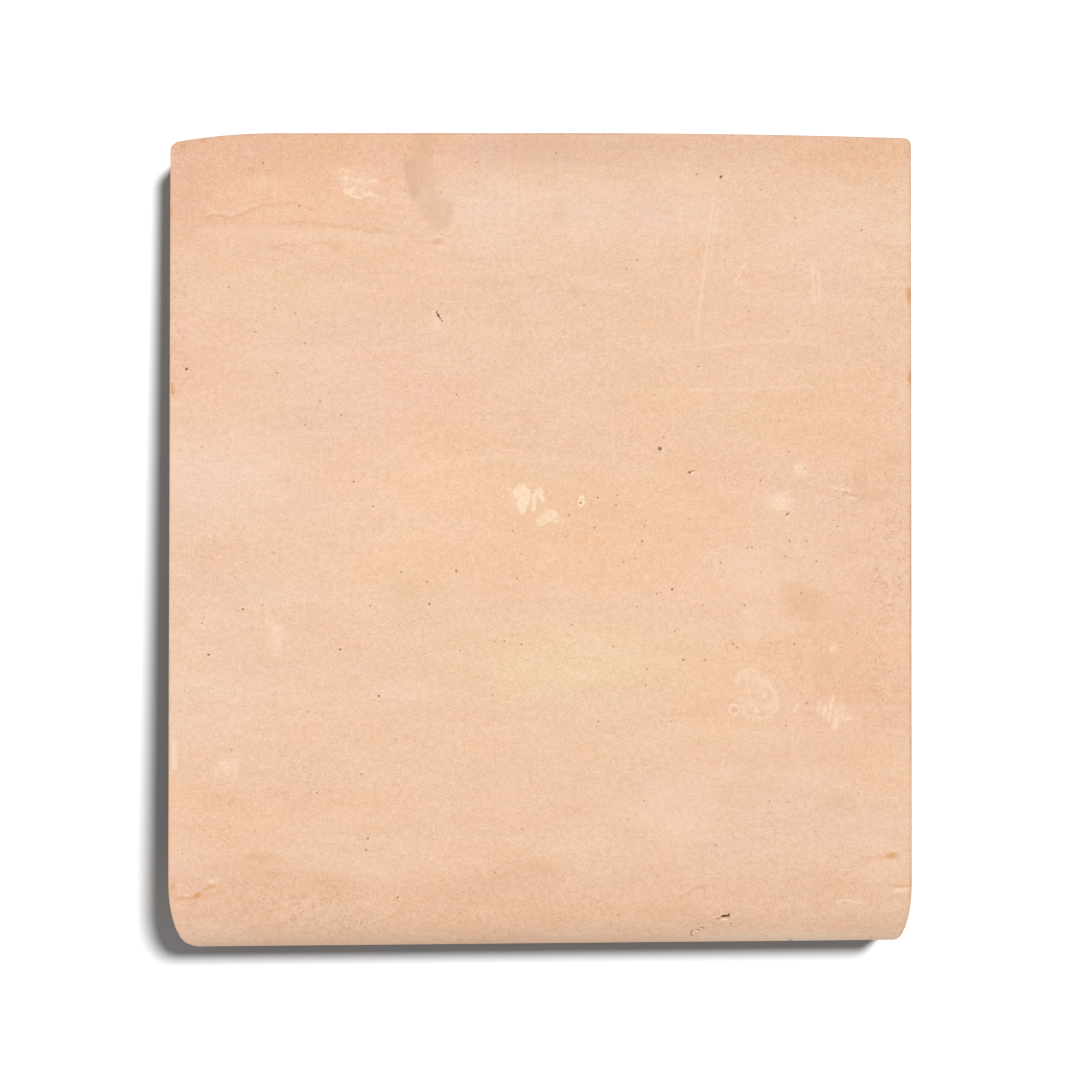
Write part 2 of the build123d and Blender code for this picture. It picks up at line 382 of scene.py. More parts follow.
# Drawn marks, by layer: points, width, strength
STROKES = {
    "lime_and_highlight": [
        ([(548, 419), (551, 425)], 1.8, 0.45), ([(558, 420), (553, 427)], 1.8, 0.42),
        ([(535.5, 491), (534.2, 498), (532.8, 509)], 2.6, 0.85),
        ([(337, 174.5), (340, 170.5)], 2.6, 0.42), ([(342.5, 168.5), (345.5, 172.5)], 2.4, 0.42),
        ([(347, 170), (352, 169.8)], 3, 0.36), ([(340, 178), (346.5, 178)], 4.6, 0.42),
        ([(346, 176), (346.5, 183)], 2.6, 0.42), ([(341.5, 184), (341.3, 189)], 2.8, 0.46),
        ([(353.5, 179), (359.5, 180.5), (365, 180.5)], 3.6, 0.48),
        ([(367, 181), (376.5, 179.5)], 4.6, 0.44), ([(365.5, 186), (361.5, 190)], 3, 0.5),
        ([(344, 189.5), (353.5, 189)], 4, 0.6), ([(344.5, 192.3), (352, 195), (359.5, 197.4)], 2.8, 0.66),
        ([(363, 193.5), (370, 193), (376, 195.8)], 3.6, 0.62), (ring(734.2, 709.2, 4.6), 1.7, 0.3),
        ([(753, 704.8), (758.9, 711.4)], 1.7, 0.6), ([(752.5, 709.7), (755, 711)], 1.7, 0.6),
        ([(824.4, 707.4), (824, 713.7)], 2, 0.42), ([(829.2, 711), (828.6, 718.7)], 2, 0.4),
        ([(830.4, 703.4), (830, 706.6)], 2.2, 0.42), ([(832.8, 697), (832.5, 700)], 2.2, 0.38),
        ([(836.2, 719), (834.2, 725.5)], 2.8, 0.46),
        ([(176, 885.5), (181.5, 884), (186.5, 887), (187, 891)], 2.6, 0.34),
        ([(184.5, 895.7), (188.8, 894.5)], 1.9, 0.7), ([(833, 648), (833, 651)], 2, 0.5),
        ([(846, 499), (852, 497)], 1.4, 0.6), ([(433, 308), (433, 320), (438, 331)], 2, 0.35),
        ([(834, 487.5), (842, 489), (850, 491)], 2, 0.5), ([(320, 528), (332, 530)], 1.8, 0.35),
        ([(785.5, 516.5), (789, 515.5)], 1.6, 0.9),
    ],
    "veil_and_highlight": [
        ([(266, 620), (270, 627)], 3.2, 0.7), ([(272, 622), (276, 630), (281, 627)], 3.4, 0.8),
        ([(273, 632), (278, 639)], 3.2, 0.8), ([(282, 631), (280, 637)], 3, 0.7),
        ([(275, 641), (280, 644)], 3, 0.7), ([(273, 653.5), (278.5, 655.5)], 3, 0.7),
        ([(276, 646), (279, 650)], 3, 0.6), ([(214, 768), (219, 775)], 3.4, 0.6),
        (ring(734.2, 709.2, 4.7), 2.4, 0.9),
        ([(737.3, 681), (738.6, 675), (744.5, 670.2), (750, 668.5), (755, 671)], 3.4, 0.9),
        ([(746, 673), (747, 680)], 2.6, 0.6), ([(750, 673), (750.5, 680)], 2.4, 0.6),
        ([(757, 678), (765, 680), (769, 685), (773.5, 691), (775.5, 698), (774.6, 703)], 4.6, 0.75),
        ([(775, 703), (778, 706), (773, 711), (767, 716), (758, 719), (749, 716), (743, 712)], 3, 0.7),
        ([(741.5, 705.8), (745, 708.5)], 2.4, 0.8), ([(762, 704.4), (771, 703.8)], 2.4, 0.7),
        ([(747, 690), (750, 694), (748, 699)], 2.2, 0.6),
        ([(762, 692), (765, 696), (762, 699)], 2.2, 0.6), ([(755, 689), (758, 694), (756, 698)], 2, 0.6),
        ([(748, 702), (752, 706)], 2.4, 0.8), ([(764, 708), (770, 707)], 2.6, 0.8),
        ([(793, 711), (794, 708), (797, 705)], 3, 0.7), ([(817.6, 702), (818, 712)], 3, 0.8),
        ([(824.4, 706), (824, 715)], 3, 0.85), ([(829.2, 709.5), (828.6, 720)], 3, 0.85),
        ([(830.4, 702), (830, 707.5)], 3.2, 0.85), ([(832.8, 696), (832.4, 701)], 3.2, 0.8),
        ([(836.5, 717.5), (833.8, 727)], 4.4, 0.9), ([(836.6, 709.5), (835.5, 717)], 3.4, 0.75),
        ([(842, 706), (841.5, 714)], 3.4, 0.7), ([(845, 718), (851, 717)], 3.6, 0.6),
        ([(836, 902), (844, 899.5), (852, 901), (864, 902.5)], 1.9, 0.7),
        ([(895, 889.5), (912, 889)], 3.2, 0.8),
        # The next line is a painted highlight along the upper side of the drawn line below it
        ([(369, 921), (383, 917), (393, 912), (398, 906)], 1.8, 0.3),
        ([(713, 194), (707, 245), (700, 300), (696, 335)], 1.9, 0.62),
        ([(717, 208), (709, 262)], 1.8, 0.5), ([(735.5, 282), (740, 268), (745.5, 263)], 2.2, 0.85),
        ([(738, 284), (745, 283)], 2.2, 0.7), ([(612, 430), (613, 462)], 2.2, 0.5),
        ([(812, 262), (813, 302)], 3, 0.7), ([(818, 270), (818.5, 300)], 2.4, 0.6),
        ([(235, 759), (235, 775)], 2.8, 0.95), ([(225, 760), (228, 772)], 5, 0.5),
        ([(173.5, 742), (174, 766)], 5, 0.9), ([(664, 350), (700, 348)], 1.8, 0.35),
        ([(706, 347), (730, 344.5)], 2.6, 0.6), ([(736, 343.5), (800, 338)], 2, 0.4),
        ([(690, 389.5), (722, 390)], 2.6, 0.45), ([(728, 389), (760, 388)], 2.4, 0.5),
        ([(766, 387.5), (812, 386)], 2.2, 0.42),
        # The next line is a painted highlight along the upper side of the drawn line below it
        ([(205, 214), (213, 211), (222, 212.5), (232, 213), (244, 209), (256, 203)], 2.4, 0.4),
        ([(662, 220), (656, 240)], 3, 0.2), ([(285, 700), (360, 690), (440, 696)], 9, 0.2),
        ([(200, 232), (290, 232), (400, 240)], 8, 0.25), ([(420, 470), (500, 455), (600, 462)], 8, 0.15),
    ],
    "smoke": [
        ([(406.5, 162), (406, 170), (409, 181), (413, 195)], 5, 0.95),
        ([(412, 162), (412, 176), (416, 190)], 9, 0.8), ([(421, 164), (421, 180)], 9, 0.6),
        ([(448.5, 206), (447.5, 214), (443, 223)], 7, 0.6),
        ([(430, 200), (436, 212), (437, 222)], 12, 0.5), ([(426, 132), (420, 158)], 14, 0.55),
    ],
    "stain": [
        (ring(734.2, 709.2, 2), 1.4, 0.7), ([(853, 477), (864, 483), (872, 492)], 2.2, 0.4),
    ],
    "ochre_and_edge_shade": [
        ([(205, 217), (213, 214), (222, 216), (233, 217), (244, 213), (254, 207), (265, 205)], 1.7, 0.55),
        ([(265, 205), (276, 203), (295, 203), (307, 207), (318, 210)], 1.6, 0.4),
        ([(282, 224), (297, 221), (311, 220), (323, 224), (347, 226), (363, 229), (380, 230),
          (399, 233)], 1.8, 0.4),
        ([(267, 247), (294, 245), (325, 242), (347, 242)], 1.6, 0.3),
        ([(203.5, 889.2), (208.5, 886.5), (214.8, 885.2)], 2.6, 0.85),
        ([(175.5, 898.3), (185, 898), (193, 898.4)], 2, 0.62), ([(528, 277), (545, 275)], 1.6, 0.5),
        ([(201, 895.6), (211, 894.3), (220.5, 891.8)], 1.9, 0.45), ([(200, 892), (204, 889)], 2.4, 0.4),
        # The line from (910.6, 505) is painted shade down the right arris
        ([(189, 905), (193, 903)], 2.2, 0.5), ([(910.6, 505), (911.2, 640), (911.6, 760)], 1.7, 0.55),
        ([(862, 858), (884, 856)], 4, 0.35), ([(843, 492.5), (851, 494), (856, 496)], 1.6, 0.6),
        ([(679, 899), (690, 891), (702, 884.5)], 1.6, 0.5),
        ([(702, 884.5), (716, 874), (727, 869)], 1.4, 0.2), ([(703, 885), (704, 893)], 2, 0.5),
        ([(895, 885.6), (904, 885.8), (911, 886.8)], 1.6, 0.8), ([(214, 460), (226, 459)], 1.5, 0.3),
        ([(372, 923), (385, 919), (395, 914)], 1.6, 0.4),
        ([(793, 880), (800, 876), (803, 882)], 1.4, 0.35),
    ],
}

# Marks with a border of their own, by layer: outline, how soft the border is, strength
PATCHES = {
    "lime_and_highlight": [
        ([(512.5, 493), (515, 487.3), (520.6, 483.5), (525.2, 482.3), (527.2, 486.8), (530.8, 490.3),
          (531.2, 496.5), (528.6, 503.5), (523.8, 513.8), (519.4, 513.2), (514.6, 504.5), (517.6, 498.6),
          (513, 496.3)], 0.7, 0.6),
        ([(536.4, 488.4), (541, 485.8), (542.8, 492), (544.6, 499.2), (543, 503), (540, 502),
          (536.4, 497)], 0.7, 0.55),
        ([(537.2, 515), (544, 510.2), (551.5, 509), (557.5, 511.5), (558, 518), (560, 520.5),
          (555.4, 525.4), (551, 521), (545, 524.5), (539.8, 526.8), (535.2, 524.6)], 0.9, 0.47),
        ([(580.8, 494.4), (583.8, 498.6), (583.8, 503.8), (580.4, 506.2), (577.2, 504),
          (577.3, 499)], 0.5, 0.95),
    ],
    "smoke": [
        ([(404, 158), (432, 157), (434, 184), (437, 195), (454.6, 202.5), (452.4, 215), (447.8, 226.5),
          (434, 231), (421, 216), (411.5, 198), (407, 182), (402.5, 170)], 2.6, 0.4),
    ],
}

# Broad tones: centre, radii, then how much lighter, warmer and pinker, in levels out of 255
TONES = [
    (250, 195, 150, 50, -3, 5, 3), (485, 212, 55, 30, 6, -7, 0), (625, 215, 95, 32, 5.5, -8, 0),
    (815, 165, 110, 26, -3, 3, 0), (820, 235, 80, 25, 3, -4, 0), (185, 470, 90, 42, 8, -8, 0),
    (185, 205, 36, 60, -7, 0, 1), (190, 370, 50, 60, -2, 0, 2), (310, 160, 160, 30, -3, 2, 2),
    (640, 150, 110, 22, 1, -8, 0), (380, 400, 110, 70, -1, -5, 2), (390, 500, 120, 60, 2, 2, 1),
    (225, 705, 65, 40, 4, -6, 0), (385, 697, 45, 22, 2, -5, 0), (560, 540, 150, 80, -1, 6, 1),
    (600, 660, 120, 40, 3, 3, -3), (250, 600, 110, 70, 3, -4, 0), (675, 812, 55, 45, 2, -3, 0),
    (800, 815, 110, 32, 0, -6, 0), (255, 812, 60, 30, -3, 3, 2), (715, 727, 30, 20, 0, 4, 0),
    (740, 560, 120, 110, 0, 0, 1), (215, 562, 40, 25, -3, 0, 0), (870, 520, 45, 170, -3, 0, 1),
    (850, 690, 70, 80, -5, 2, 1), (800, 612, 30, 22, -2, 5, 0), (520, 872, 70, 22, -3, 0, 0),
    (430, 866, 35, 25, 3, 0, 0), (700, 900, 240, 200, -2.5, 0, 0), (330, 860, 200, 120, -2, 0, 0),
    (760, 430, 110, 50, -3, 1, 0), (200, 885, 70, 26, -2, -8, 1), (760, 880, 130, 30, 1, -7, 0),
    (470, 885, 120, 20, -1, -5, 1), (540, 940, 420, 9, 1, -9, -2), (820, 938, 100, 10, 9, -2, -1),
    (200, 936, 60, 10, 6, -3, 0), (420, 455, 60, 60, 0, 7, 0), (330, 358, 60, 30, 3.5, 0, 0),
    (184, 175, 26, 50, 0, -8, -1), (490, 148, 34, 14, 0, -13, 0), (250, 150, 30, 14, 0, -7, 0),
    (250, 306, 34, 26, 3, -3, 0), (755, 938, 60, 8, 4, 0, 0), (500, 938, 40, 8, -3, 0, 0),
    (740, 672, 120, 30, -1.5, 4, 1), (560, 672, 70, 26, 0, 2, -3), (390, 300, 120, 60, -0.5, -1, 0),
    (740, 310, 60, 40, 1, 0, 0), (490, 358, 60, 26, 3, 0, 0),
]

# The back rim is darker, with a wavering edge
RIM_TONE_TO, RIM_TONE_FULL, RIM_TONE = 186.0, 140.0, -9.0

# From here down the nose is a little darker than the tread, with a wavering edge
NOSE_TONE_FROM, NOSE_TONE_FULL, NOSE_TONE = 856.0, 892.0, -6.0


def smooth(low, high, value):
    """Rises smoothly from 0 to 1 between two limits."""
    t = np.clip((value - low) / (high - low), 0, 1)
    return t * t * (3 - 2 * t)


def fade(inner, outer, reach):
    """Falls smoothly from 1 to 0 between two limits."""
    return 1 - smooth(inner, outer, reach)


NOISE_TABLE = 32


def lattice_noise(p, size, seed):
    """Smooth noise from -1 to 1, with a cell size that may differ by axis."""
    table = np.random.default_rng(seed).uniform(-1, 1, (NOISE_TABLE,) * 3)
    q = p / np.asarray(size, float)
    cell = np.floor(q).astype(int)
    f = q - cell
    f = f * f * (3 - 2 * f)
    total = np.zeros(len(p))
    for corner in np.ndindex(2, 2, 2):
        weight = np.prod(np.where(corner, f, 1 - f), axis=1)
        i, j, k = ((cell + corner) % NOISE_TABLE).T
        total += weight * table[i, j, k]
    return total


def swell(p, depth, size, seed):
    """A wavy skin, from nothing to twice a depth."""
    return depth * (1 + lattice_noise(p, size, seed))


def hollows(p, depth, size, seed, from_level=0.0):
    """Separate hollows, where the noise is above a level."""
    return depth * np.maximum(lattice_noise(p, size, seed) - from_level, 0)


def wobble(p, size, seeds):
    """A small sideways shift of each point, so that drawn borders waver."""
    return np.stack([lattice_noise(p, size, seed) for seed in seeds], 1)


def spot_reach(seen, x, y, rx, ry, turned=0):
    """0 at the centre of a spot, 1 on its rim."""
    t = radians(turned)
    dx, dy = seen[:, 0] - x, seen[:, 1] - y
    return np.hypot((dx * cos(t) + dy * sin(t)) / rx, (dy * cos(t) - dx * sin(t)) / ry)


def line_gap(seen, points):
    """Pixels from each point to a drawn line."""
    best = np.full(len(seen), np.inf)
    for a, b in zip(np.array(points[:-1], float), np.array(points[1:], float)):
        run = b - a
        t = np.clip((seen - a) @ run / (run @ run), 0, 1)
        best = np.minimum(best, np.linalg.norm(seen - a - t[:, None] * run, axis=1))
    return best


def border_gap(seen, outline):
    """Pixels from each point to the border of a patch, negative inside it."""
    x, y = seen.T
    inside = np.zeros(len(seen), bool)
    closed = outline + outline[:1]
    for (ax, ay), (bx, by) in zip(closed[:-1], closed[1:]):
        if ay != by:
            inside ^= ((ay > y) != (by > y)) & (x < ax + (y - ay) * (bx - ax) / (by - ay))
    gap = line_gap(seen, closed)
    return np.where(inside, -gap, gap)


def pit_reach(p, n, seen, x, y, radius):
    """0 at the middle of a pit, 1 on its rim. It is measured through space from where the lens sees the
    middle, so a pit on the nose is as round as one on the tread."""
    across = np.hypot(seen[:, 0] - x, seen[:, 1] - y)
    middle = np.argmin(np.where(n[:, 2] > FACES_LENS, across, np.inf))
    down = (p[:, 2] - p[middle, 2]) / PIXEL
    return np.hypot(across, down) / radius


# Refining: first all but the underside, then what lies near marks of each kind, the finest kind last

NOT_BELOW, FACES_LENS, ON_TOP = -0.5, 0.05, 0.2
SOFT, CRISP, CARVED = 1, 2, 3
MARGINS = ((SOFT, 3.0), (CRISP, 1.2), (CARVED, 0.6))
CRISP_WIDTH = 2.7


def near_marks(seen, margin):
    """The finest kind of mark within a margin of each point, 0 away from all."""
    kind = np.zeros(len(seen))
    for layer in SPOTS:
        if layer in ("lime_and_highlight", "ochre_and_edge_shade"):
            for x, y, rx, ry, _, *turned in SPOTS[layer]:
                inside = spot_reach(seen, x, y, rx + margin, ry + margin, *turned) < 1
                kind[inside] = np.maximum(kind[inside], SOFT)
        for points, width, _ in STROKES.get(layer, []):
            inside = line_gap(seen, points) < width + margin
            thin = width < CRISP_WIDTH and layer in ("lime_and_highlight", "veil_and_highlight")
            kind[inside] = np.maximum(kind[inside], CRISP if thin else SOFT)
    for outline, _, _ in PATCHES["lime_and_highlight"]:
        kind[np.abs(border_gap(seen, outline)) < margin] = CRISP
    for points, width, _, _ in CUTS:
        kind[line_gap(seen, points) < width + margin] = CARVED
    for x, y, radius, _, _ in PITS:
        kind[spot_reach(seen, x, y, radius + margin, radius + margin) < 1] = CARVED
    return kind


def refine(bm, wanted):
    """Splits the faces for which wanted(centres, normals) holds, and lays every corner on the skin."""
    bm.faces.ensure_lookup_table()
    centres = np.array([f.calc_center_median() for f in bm.faces])
    normals = np.array([f.normal for f in bm.faces])
    chosen = wanted(centres, normals)
    edges = {e for f, keep in zip(bm.faces, chosen) if keep for e in f.edges}
    bmesh.ops.subdivide_edges(bm, edges=list(edges), cuts=1, use_grid_fill=True)
    settled = onto_surface(np.array([v.co for v in bm.verts]))
    for v, co in zip(bm.verts, settled):
        v.co = co
    bm.normal_update()


def refined_blank():
    """The smooth tile as a mesh, fine enough for its marks."""
    corners, quads = blank_mesh()
    mesh = bpy.data.meshes.new("fired_tile")
    mesh.from_pydata(onto_surface(corners).tolist(), [], quads.tolist())
    bm = bmesh.new()
    bm.from_mesh(mesh)
    bm.normal_update()
    refine(bm, lambda c, n: n[:, 2] > NOT_BELOW)
    for finest, margin in MARGINS:
        refine(bm, lambda c, n: (n[:, 2] > ON_TOP) & (near_marks(pixels_of(c), margin) >= finest))
    bm.to_mesh(mesh)
    bm.free()
    return mesh


# Wear: all depths go inwards and are in millimetres


def cut_walls(n, full):
    """1 on the cut walls at the sides and the back, 0 on the moulded skin."""
    return smooth(0.5, full, np.abs(n[:, 0])) + smooth(0.5, full, n[:, 1])


def relief(p, n, seen):
    """How far the worn skin lies under the smooth one."""
    least = 0.02
    depth = least + swell(p, depth=0.04, size=55, seed=1) + swell(p, depth=0.015, size=6, seed=2)

    # The tread is raked from side to side
    up = smooth(0.2, 0.7, n[:, 2])
    depth += up * swell(p, depth=0.03, size=(34, 6, 34), seed=3)

    # The underside lay on sand
    below = smooth(0.5, 0.9, -n[:, 2])
    depth += below * (swell(p, depth=0.25, size=6, seed=4) + swell(p, depth=0.12, size=3.3, seed=5))

    # The cut walls are dented and dragged, but not right under the arris
    wall = cut_walls(n, full=0.9)
    rough = hollows(p, depth=0.7, size=(9, 9, 3), seed=6, from_level=0.2)
    rough += hollows(p, depth=0.7, size=3.2, seed=12, from_level=0.45)
    rough += hollows(p, depth=0.25, size=(16, 16, 1.6), seed=7, from_level=0.1)
    depth += wall * smooth(-1.5, -7, p[:, 2]) * rough

    # The rim of the tread is slightly uneven
    at_edge = smooth(-4, -0.5, outline_distance(p[:, 0], p[:, 1]))
    rim = at_edge * (1 - wall) * (p[:, 1] > FRONT + NOSE_RADIUS)
    depth += rim * (hollows(p, depth=0.16, size=7, seed=8) + swell(p, depth=0.05, size=2.4, seed=9))

    facing = smooth(0.1, 0.4, n[:, 2])
    bent = seen + 0.35 * wobble(p, size=0.9, seeds=(10, 11))
    for x, y, radius, deep, _ in PITS:
        depth += deep * fade(0.3, 1.15, pit_reach(p, n, bent, x, y, radius))
    for points, width, deep, _ in CUTS:
        depth += facing * deep * fade(0.15, 0.7, line_gap(bent, points) / width)
    return depth


# A painted highlight on the lit side of a dark pit: where it is, in radii from the centre, and how strong
# it is
LIT_SIDE = (1.3, 0.9)
LIT_STRENGTH = 0.8
LIT_FROM_DARKNESS = 0.5


def drawn_layers(p, n, seen):
    """Strength of each layer of soft and drawn marks at each point."""
    facing = smooth(0.0, 0.3, n[:, 2])
    bent = seen + 1.1 * wobble(p, size=1.6, seeds=(20, 21))
    layers = {}
    for layer in SPOTS:
        total = np.zeros(len(p))
        for x, y, rx, ry, strength, *turned in SPOTS[layer]:
            reach = spot_reach(bent, x, y, rx, ry, *turned)
            total = np.maximum(total, strength * fade(0.3, 1.2, reach))
        for points, width, strength in STROKES.get(layer, []):
            reach = line_gap(bent, points) / width
            total = np.maximum(total, strength * fade(0.2, 1.0, reach))
        for outline, soft, strength in PATCHES.get(layer, []):
            total = np.maximum(total, strength * fade(-soft, soft, border_gap(bent, outline)))
        layers[layer] = facing * total
    return layers


def pit_shade_and_highlight(p, n, seen):
    """How dark the painted shade in the pits and cuts is at each point, and how bright the painted
    highlights on the lit sides of the deeper pits are.
    """
    facing = smooth(0.0, 0.3, n[:, 2])
    dark = np.zeros(len(p))
    lit = np.zeros(len(p))
    for x, y, radius, _, darkness in PITS:
        dark = np.maximum(dark, darkness * fade(0.6, 1.3, pit_reach(p, n, seen, x, y, radius)))
        if darkness > LIT_FROM_DARKNESS:
            lit_x, lit_y = x + LIT_SIDE[0] * radius, y + LIT_SIDE[1] * radius
            reach = spot_reach(seen, lit_x, lit_y, radius, radius)
            lit = np.maximum(lit, LIT_STRENGTH * facing * darkness * fade(0.5, 1.2, reach))
    for points, width, _, darkness in CUTS:
        dark = np.maximum(dark, darkness * fade(0.25, 0.75, line_gap(seen, points) / width))
    return dark, lit


def tone_layers(p, n, seen):
    """How much lighter, warmer and pinker the clay is at each point, in levels out of 255."""
    facing = smooth(0.0, 0.3, n[:, 2])
    light, warm, pink = np.zeros(len(p)), np.zeros(len(p)), np.zeros(len(p))
    for x, y, rx, ry, lighter, warmer, pinker in TONES:
        near = facing * np.exp(-spot_reach(seen, x, y, rx, ry) ** 2)
        light += lighter * near
        warm += warmer * near
        pink += pinker * near
    wavering = seen[:, 1] + 14 * lattice_noise(p, size=(22, 60, 60), seed=22)
    light += RIM_TONE * facing * fade(RIM_TONE_FULL, RIM_TONE_TO, wavering)
    light += NOSE_TONE * facing * smooth(NOSE_TONE_FROM, NOSE_TONE_FULL, wavering)
    return {"light": light, "warm": warm, "pink": pink}


def painted(p, n, seen):
    """All that the clay's colour is mixed from, at each point."""
    layers = drawn_layers(p, n, seen)
    layers["pit"], lit = pit_shade_and_highlight(p, n, seen)
    # The painted highlights on the lit sides of pits join the limewash marks
    layers["lime_and_highlight"] = np.maximum(layers["lime_and_highlight"], lit)
    layers.update(tone_layers(p, n, seen))
    layers["below"] = smooth(0.3, 0.8, -n[:, 2])
    layers["wall"] = cut_walls(n, full=0.95)
    return layers


mesh = refined_blank()
level = np.zeros(3 * len(mesh.vertices))
mesh.vertices.foreach_get("co", level)
level = level.reshape(-1, 3)
normal = gradient(level)
seen = pixels_of(level)
worn = level - normal * relief(level, normal, seen)[:, None]

# Laid down as it rests: turned about the run of the nose, on the heel of the lip and the back edge
heel_setback = HEEL_RADIUS / tan((radians(90) + LIP_DRAFT) / 2)
rest_across = (BACK - ARRIS) - (FRONT + LIP_THICKNESS - heel_setback)
rest_up = (ARRIS - SLAB) - (HEEL_RADIUS - NOSE_HEIGHT)
rest_reach = hypot(rest_up, rest_across)
rest_tilt = atan2(rest_up, rest_across) - asin((ARRIS - HEEL_RADIUS) / rest_reach)
turn = np.array(Matrix.Rotation(-rest_tilt, 3, Vector((1, FRONT_SKEW, 0))))
laid = level @ turn.T
lowest, highest = laid.min(axis=0), laid.max(axis=0)
shift = -np.array([(lowest[0] + highest[0]) / 2, (lowest[1] + highest[1]) / 2, lowest[2]])
final = (worn @ turn.T + shift) * MM
mesh.vertices.foreach_set("co", final.ravel())
for name, values in painted(level, normal, seen).items():
    attribute = mesh.attributes.new(name, "FLOAT", "POINT")
    attribute.data.foreach_set("value", values.astype(np.float32))
attribute = mesh.attributes.new("level", "FLOAT_VECTOR", "POINT")
attribute.data.foreach_set("vector", level.astype(np.float32).ravel())
mesh.shade_smooth()
mesh.update()
tile = bpy.data.objects.new("fired_tile", mesh)
bpy.context.scene.collection.objects.link(tile)


# Terracotta


class Graph:
    """Short-hand for adding shader nodes and joining them."""

    def __init__(self, owner):
        owner.use_nodes = True
        self.tree = owner.node_tree
        self.tree.nodes.clear()

    def node(self, kind, inputs=(), **settings):
        made = self.tree.nodes.new(kind)
        for key, value in settings.items():
            setattr(made, key, value)
        for key, value in dict(inputs).items():
            if isinstance(value, bpy.types.NodeSocket):
                self.tree.links.new(value, made.inputs[key])
            else:
                made.inputs[key].default_value = value
        return made

    def math(self, operation, a, b=0.0, c=0.0):
        return self.node("ShaderNodeMath", {0: a, 1: b, 2: c}, operation=operation).outputs[0]

    def times(self, a, b):
        return self.math("MULTIPLY", a, b)

    def vector(self, operation, a, b):
        return self.node("ShaderNodeVectorMath", {0: a, 1: b}, operation=operation).outputs[0]

    def scaled(self, a, factor):
        inputs = {0: a, "Scale": factor}
        return self.node("ShaderNodeVectorMath", inputs, operation="SCALE").outputs[0]

    def layer(self, name):
        return self.node("ShaderNodeAttribute", attribute_name=name).outputs["Fac"]

    def noise(self, where, size, detail=2.0, rough=0.5, bend=0.0):
        numbers = {"Scale": 1 / size, "Detail": detail, "Roughness": rough, "Distortion": bend}
        return self.node("ShaderNodeTexNoise", {"Vector": where, **numbers}).outputs["Fac"]

    def cells(self, where, density):
        """Scattered points: the distance to the nearest, and two numbers drawn by lot for each."""
        made = self.node("ShaderNodeTexVoronoi", {"Vector": where, "Scale": density})
        lot = self.node("ShaderNodeSeparateColor", {"Color": made.outputs["Color"]})
        return made.outputs["Distance"], lot.outputs[0], lot.outputs[1]

    def scatter(self, value, levels, on=0.0):
        """A noise to either side of nothing, this many levels across, on top of another value."""
        return self.math("MULTIPLY_ADD", self.math("SUBTRACT", value, 0.5), levels, on)

    def between(self, value, low, high, to_low=0.0, to_high=1.0):
        """Runs smoothly from one value to another while a third goes from low to high."""
        inputs = {0: value, "From Min": low, "From Max": high, "To Min": to_low, "To Max": to_high}
        made = self.node("ShaderNodeMapRange", inputs, interpolation_type="SMOOTHSTEP")
        return made.outputs["Result"]

    def line(self, value, middle, half_width, strength=1.0):
        """A thin line where a noise passes its middle value."""
        off = self.math("ABSOLUTE", self.math("SUBTRACT", value, middle))
        return self.between(off, 0.0, half_width, strength, 0.0)

    def mix(self, factor, a, b):
        return self.node("ShaderNodeMix", {0: factor, 6: a, 7: b}, data_type="RGBA").outputs[2]

    def over(self, colour, factor, paint):
        """Lays a paint over a colour."""
        return self.mix(factor, colour, albedo(*paint))


def albedo(*levels):
    """A colour in levels out of 255, made linear."""
    linear = [c / 255 / 12.92 if c < 10 else ((c / 255 + 0.055) / 1.055) ** 2.4 for c in levels]
    return (*linear, 1.0)


# Colours as they look on the photograph: red, green and blue in levels out of 255
CLAY = (240, 201, 171)
CUT_DARK, CUT_PALE = (231, 184, 150), (243, 203, 172)
BED_DARK, BED_PALE = (212, 170, 138), (230, 192, 161)
# The first colour here also paints highlights beside some drawn lines
VEIL_AND_HIGHLIGHT, SMOKE, STAIN = (251, 218, 193), (221, 180, 148), (224, 181, 142)
# Painted shade in the creases, and a painted highlight along one side of them
CREASE_SHADE, CREASE_HIGHLIGHT = (211, 160, 127), (251, 218, 190)
# Lime crust, which also paints the highlights on the lit sides of pits and along a gouge
LIME_AND_HIGHLIGHT_THIN, LIME_AND_HIGHLIGHT_THICK = (252, 219, 189), (253, 230, 196)
# The first also paints shade down the right arris
OCHRE_AND_EDGE_SHADE, CHALK = (220, 163, 113), (254, 226, 200)
# The first and last are painted shade in pinholes and in pits and cuts; the middle one is dark grains
PINHOLE_SHADE, PEPPER, PIT_SHADE = (160, 104, 74), (184, 130, 98), (128, 74, 48)

# What one level of each kind of unevenness adds to the clay's linear colour
GRAIN_TONE = (0.0058, 0.0064, 0.0065)
CLOUD_TONE = (0.0050, 0.0065, 0.0067)
BROAD_TONE = (0.0012, 0.0065, 0.0080)
WARM_TONE = (0.0024, 0.0004, -0.0034)
PINK_TONE = (0.0058, -0.0046, 0.0005)

# How many levels across each kind of unevenness is
GRAIN_LEVELS, BLOTCH_LEVELS, CLOUD_LEVELS, BROAD_LEVELS = 52.0, 26.0, 16.0, 10.0
TINT_LEVELS, HUE_LEVELS, BLUSH_LEVELS, FRECKLE_LEVELS, SAND_LEVELS = 20.0, 12.0, 7.0, 8.0, 60.0

# Two noises of one kind are read this far apart, in millimetres, so that they don't look alike
TINT_SHIFT, HUE_SHIFT, BLUSH_SHIFT = (300, 40, 0), (90, 70, 50), (10, 400, 0)
TORN_SHIFT, PEPPER_SHIFT, CHALK_SHIFT = (7, 7, 7), (11, 3, 8), (31, 17, 5)

# How far the fine relief of the material stands out, in metres
BUMP_DISTANCE = 0.12 * MM

# Uneven places are longer across the tile than along it, and drag marks on the cut walls run level
STREAKED = (0.35, 1.0, 1.0)
DRAGGED = (0.12, 0.12, 0.9)


